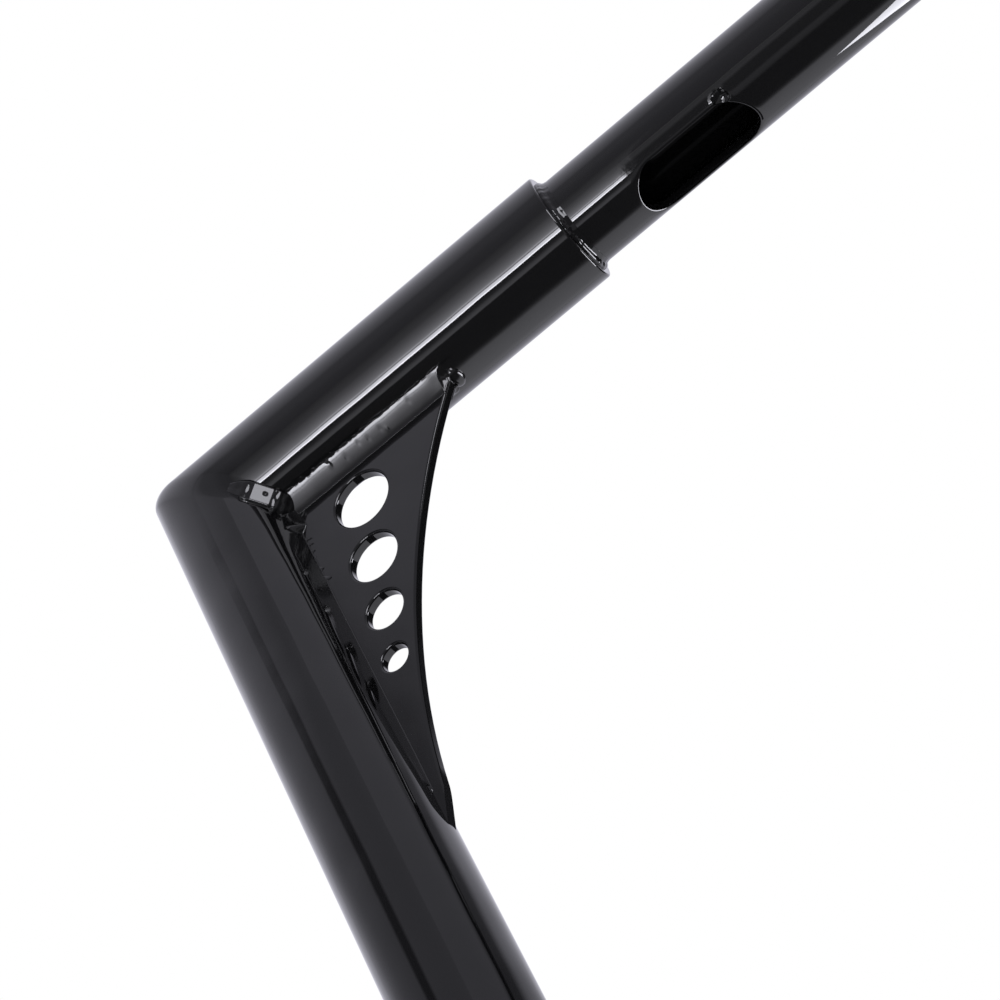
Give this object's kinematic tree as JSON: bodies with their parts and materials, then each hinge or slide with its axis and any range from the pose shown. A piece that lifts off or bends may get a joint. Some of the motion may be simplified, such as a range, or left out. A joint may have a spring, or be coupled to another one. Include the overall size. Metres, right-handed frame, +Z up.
{
  "type": "handlebar",
  "caption": "Tall welded steel ape hanger handlebar with fat tubes, mitred and gusseted upper corners, pulled-back grip ends, wire slots and a straight clamp centre, gloss black.",
  "frame": {"origin": "Centre of the clamp tube, on its axis, half way between the two risers: the point that the handlebar clamps hold.", "axes": "+X to the rider's right along the clamp tube, +Y to the front of the motorcycle, +Z up. The clamp tube, bends and risers lie in the plane Y = 0, and the grip ends sweep back toward -Y."},
  "size_m": [0.9008, 0.2209, 0.3896],
  "materials": {
    "gloss_black_paint": "gloss",
    "painted_weld": "gloss over weld ripple"
  },
  "bodies": {
    "root": {"clamp_tube": "gloss_black_paint", "right_riser": "gloss_black_paint", "right_top_tube": "gloss_black_paint", "right_control_tube": "gloss_black_paint", "right_gusset": "gloss_black_paint", "right_mitre_weld": "painted_weld", "right_inner_corner_fillet": "painted_weld", "right_outer_corner_fillet": "painted_weld", "right_top_step_weld": "painted_weld", "right_base_step_weld": "painted_weld", "right_inner_top_bead": "painted_weld", "right_outer_top_bead": "painted_weld", "right_inner_side_bead": "painted_weld", "right_outer_side_bead": "painted_weld", "left_riser": "gloss_black_paint", "left_top_tube": "gloss_black_paint", "left_control_tube": "gloss_black_paint", "left_gusset": "gloss_black_paint", "left_mitre_weld": "painted_weld", "left_inner_corner_fillet": "painted_weld", "left_outer_corner_fillet": "painted_weld", "left_top_step_weld": "painted_weld", "left_base_step_weld": "painted_weld", "left_inner_top_bead": "painted_weld", "left_outer_top_bead": "painted_weld", "left_inner_side_bead": "painted_weld", "left_outer_side_bead": "painted_weld"}
  },
  "joints": []
}
